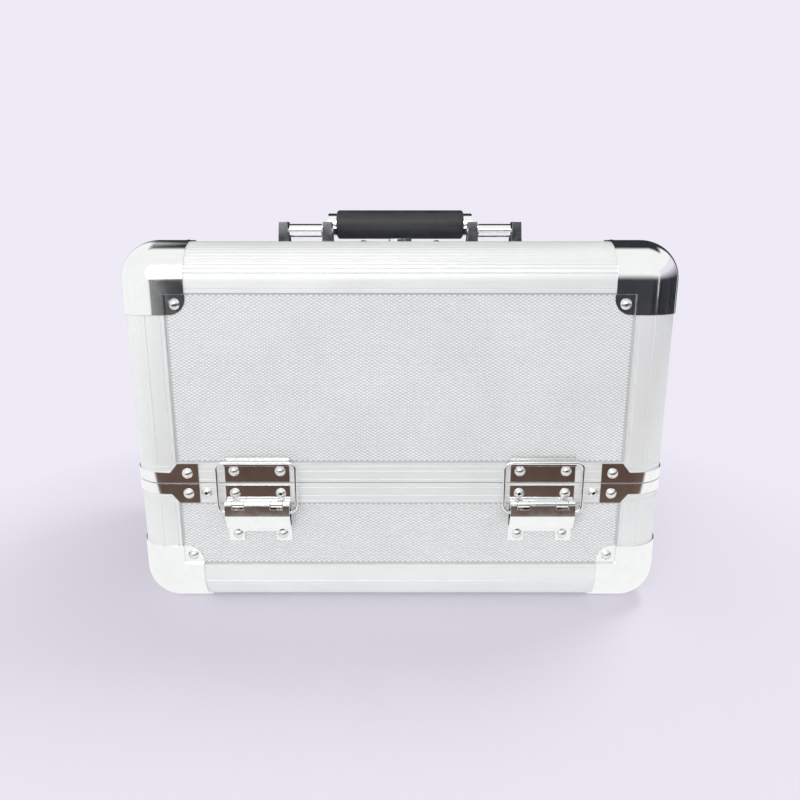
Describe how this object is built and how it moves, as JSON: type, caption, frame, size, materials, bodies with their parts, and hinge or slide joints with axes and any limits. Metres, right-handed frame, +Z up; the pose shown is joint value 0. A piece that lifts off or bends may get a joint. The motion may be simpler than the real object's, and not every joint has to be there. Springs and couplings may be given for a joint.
{
  "type": "makeup train case",
  "caption": "Aluminium-edged makeup train case with a deep hinged lid, draw latches, a folding carry handle and trays that rise and swing back with the lid.",
  "frame": {"origin": "on the floor under the middle of the closed case", "axes": "+X to the right seen from the front, +Y to the hinged back, +Z up; the latches face -Y"},
  "size_m": [0.371, 0.234, 0.279],
  "materials": {
    "extrusions": "satin anodised, fine grooves along the length",
    "panels": "satin, embossed with small staggered diamonds",
    "corner_caps": "polished",
    "rim_clips": "polished",
    "hinge_leaves": "polished",
    "latches": "polished",
    "rivets": "polished domed heads",
    "handle_metal": "polished",
    "boss": "polished",
    "grip": "matte, black",
    "pins": "plain turned",
    "links": "satin strip",
    "trays": "fine matte grain",
    "mat": "soft black foam"
  },
  "bodies": {
    "base": {"base_back_panel": "panels", "base_cap_back_left": "corner_caps", "base_cap_back_right": "corner_caps", "base_cap_front_left": "corner_caps", "base_cap_front_right": "corner_caps", "base_corner_posts": "extrusions", "base_edge_back": "extrusions", "base_edge_front": "extrusions", "base_edge_left": "extrusions", "base_edge_right": "extrusions", "base_floor_mat": "mat", "base_floor_panel": "panels", "base_front_panel": "panels", "base_left_panel": "panels", "base_link_pins": "pins", "base_right_panel": "panels", "base_rim": "extrusions", "base_rim_clips": "rim_clips", "base_rivets": "rivets", "hinge_base_leaves": "hinge_leaves", "hinge_pins": "pins", "latch_left_plate": "latches", "latch_lever_pins": "pins", "latch_right_plate": "latches"},
    "handle": {"handle_arm_left": "handle_metal", "handle_arm_right": "handle_metal", "handle_grip": "grip"},
    "lid": {"handle_pins": "pins", "handle_plate": "handle_metal", "hinge_lid_leaves": "hinge_leaves", "latch_left_catch": "latches", "latch_right_catch": "latches", "lid_back_panel": "panels", "lid_cap_back_left": "corner_caps", "lid_cap_back_right": "corner_caps", "lid_cap_front_left": "corner_caps", "lid_cap_front_right": "corner_caps", "lid_corner_posts": "extrusions", "lid_edge_back": "extrusions", "lid_edge_front": "extrusions", "lid_edge_left": "extrusions", "lid_edge_right": "extrusions", "lid_front_panel": "panels", "lid_left_panel": "panels", "lid_right_panel": "panels", "lid_rim": "extrusions", "lid_rim_clips": "rim_clips", "lid_rivets": "rivets", "lid_top_panel": "panels", "lid_tray_pins": "pins", "top_boss": "boss"},
    "latch_left_bail_body": {"latch_left_bail": "latches"},
    "latch_left_lever_body": {"latch_left_lever": "latches"},
    "latch_right_bail_body": {"latch_right_bail": "latches"},
    "latch_right_lever_body": {"latch_right_lever": "latches"},
    "lower_tray": {"lower_tray": "trays"},
    "lower_links": {"lower_tray_links": "links"},
    "upper_tray": {"upper_tray": "trays"},
    "upper_links": {"upper_tray_links": "links"}
  },
  "joints": [
    {"name": "lid_hinge", "type": "hinge", "parent": "base", "child": "lid", "pos_m": [0, 0.1135, 0.093], "axis": [-1, 0, 0], "range_deg": [0, 100]},
    {"name": "latch_left_lever_turn", "type": "hinge", "parent": "base", "child": "latch_left_lever_body", "pos_m": [-0.096, -0.1143, 0.0796], "axis": [-1, 0, 0], "range_deg": [0, 140]},
    {"name": "latch_left_bail_swing", "type": "hinge", "parent": "latch_left_lever_body", "child": "latch_left_bail_body", "pos_m": [-0.096, -0.1149, 0.074], "axis": [-1, 0, 0], "range_deg": [-168, 0]},
    {"name": "latch_right_lever_turn", "type": "hinge", "parent": "base", "child": "latch_right_lever_body", "pos_m": [0.096, -0.1143, 0.0796], "axis": [-1, 0, 0], "range_deg": [0, 140]},
    {"name": "latch_right_bail_swing", "type": "hinge", "parent": "latch_right_lever_body", "child": "latch_right_bail_body", "pos_m": [0.096, -0.1149, 0.074], "axis": [-1, 0, 0], "range_deg": [-168, 0]},
    {"name": "handle_fold", "type": "hinge", "parent": "lid", "child": "handle", "pos_m": [0, 0, 0.2615], "axis": [1, 0, 0], "range_deg": [0, 95]},
    {"name": "lower_tray_turn", "type": "hinge", "parent": "lid", "child": "lower_tray", "pos_m": [0, 0.0593, 0.123], "axis": [-1, 0, 0], "range_deg": [-100, 0]},
    {"name": "upper_tray_turn", "type": "hinge", "parent": "lid", "child": "upper_tray", "pos_m": [0, 0.0057, 0.168], "axis": [-1, 0, 0], "range_deg": [-100, 0]},
    {"name": "lower_links_turn", "type": "hinge", "parent": "base", "child": "lower_links", "pos_m": [0, 0.0035, 0.086], "axis": [-1, 0, 0], "range_deg": [0, 100]},
    {"name": "upper_links_turn", "type": "hinge", "parent": "base", "child": "upper_links", "pos_m": [0, 0.0535, 0.086], "axis": [-1, 0, 0], "range_deg": [0, 100]}
  ],
  "couplings": [
    {"joint": "latch_left_bail_swing", "follows": "latch_left_lever_turn", "ratio": -1.2},
    {"joint": "latch_right_bail_swing", "follows": "latch_right_lever_turn", "ratio": -1.2},
    {"joint": "lower_tray_turn", "follows": "lid_hinge", "ratio": -1},
    {"joint": "upper_tray_turn", "follows": "lid_hinge", "ratio": -1},
    {"joint": "lower_links_turn", "follows": "lid_hinge", "ratio": 1},
    {"joint": "upper_links_turn", "follows": "lid_hinge", "ratio": 1}
  ]
}
